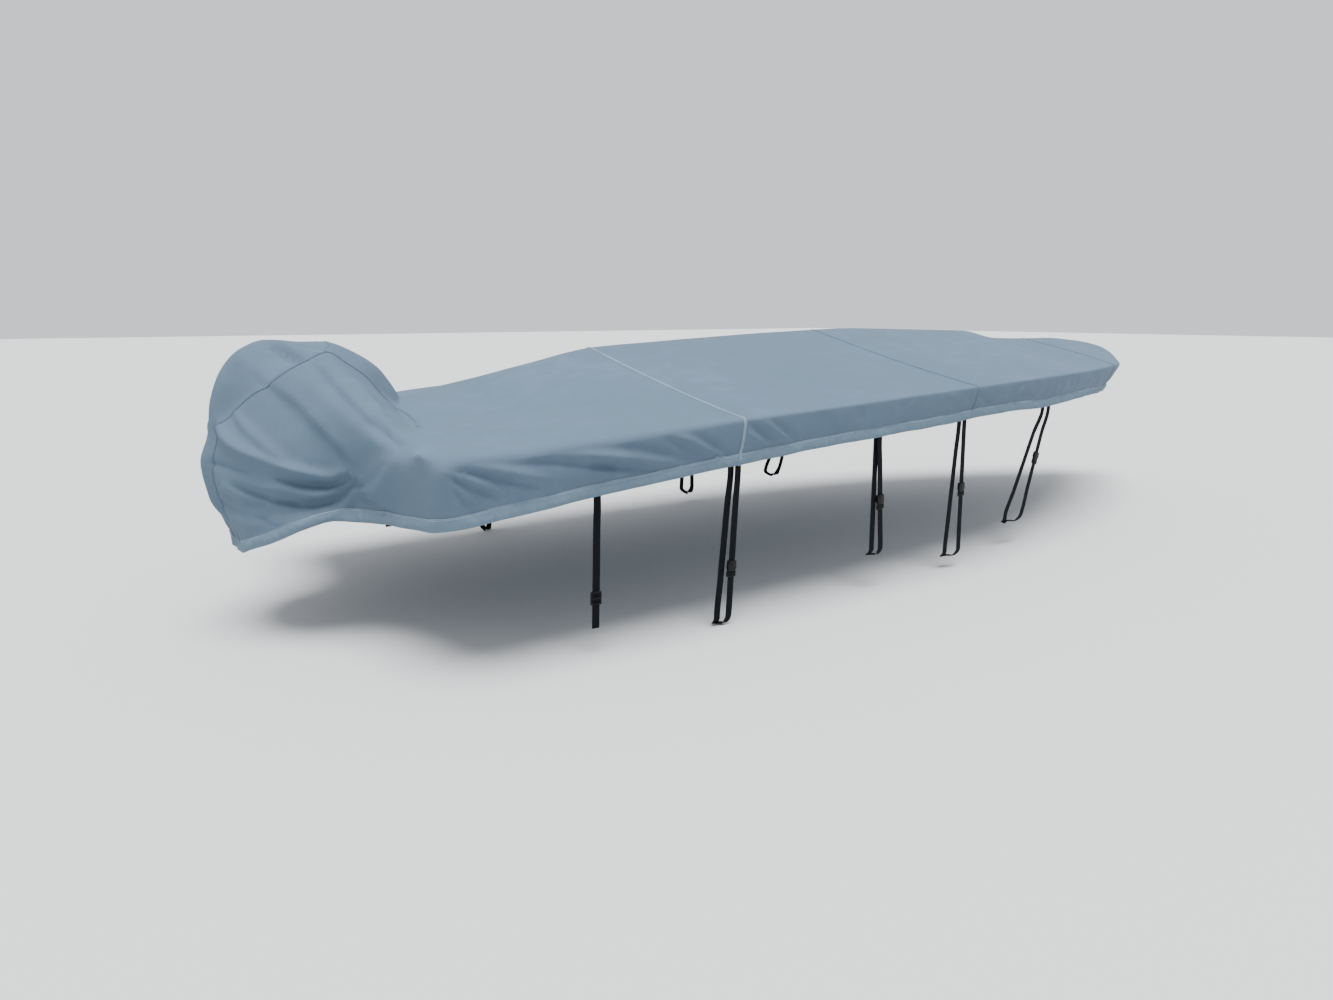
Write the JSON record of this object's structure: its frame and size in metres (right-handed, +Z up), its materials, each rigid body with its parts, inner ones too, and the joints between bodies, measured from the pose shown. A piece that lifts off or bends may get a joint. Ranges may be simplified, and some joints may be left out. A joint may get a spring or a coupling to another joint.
{
  "type": "boat cover with motor hood",
  "caption": "Fitted tented cloth cover for a small open boat, with side skirts, a rounded stern hood for an outboard and webbing tie-downs with buckles.",
  "frame": {"origin": "on the centreline at mid-length, level with the rim's stern corners, where the cover's top rests on what it covers", "axes": "+X to the bow, +Y to port, +Z up"},
  "size_m": [5.0573, 1.793, 0.904],
  "materials": {
    "cloth_body": "matt woven polyester, blue-grey",
    "cloth_hood": "matt woven polyester, blue-grey",
    "webbing": "black woven webbing",
    "buckle_plastic": "black moulded plastic"
  },
  "bodies": {
    "root": {"panel_stern": "cloth_body", "panel_middle": "cloth_body", "panel_bow": "cloth_body", "panel_nose": "cloth_body", "hood_side_starboard": "cloth_hood", "hood_side_port": "cloth_hood", "hood_front": "cloth_hood", "hood_top": "cloth_hood", "strap_1_starboard": "webbing", "strap_2_starboard": "webbing", "strap_3_starboard": "webbing", "strap_4_starboard": "webbing", "strap_5_starboard": "webbing", "strap_1_port": "webbing", "strap_2_port": "webbing", "strap_3_port": "webbing", "strap_4_port": "webbing", "strap_5_port": "webbing", "buckle_1_starboard": "buckle_plastic", "buckle_2_starboard": "buckle_plastic", "buckle_3_starboard": "buckle_plastic", "buckle_4_starboard": "buckle_plastic", "buckle_5_starboard": "buckle_plastic", "buckle_1_port": "buckle_plastic", "buckle_2_port": "buckle_plastic", "buckle_3_port": "buckle_plastic", "buckle_4_port": "buckle_plastic", "buckle_5_port": "buckle_plastic"}
  },
  "joints": []
}
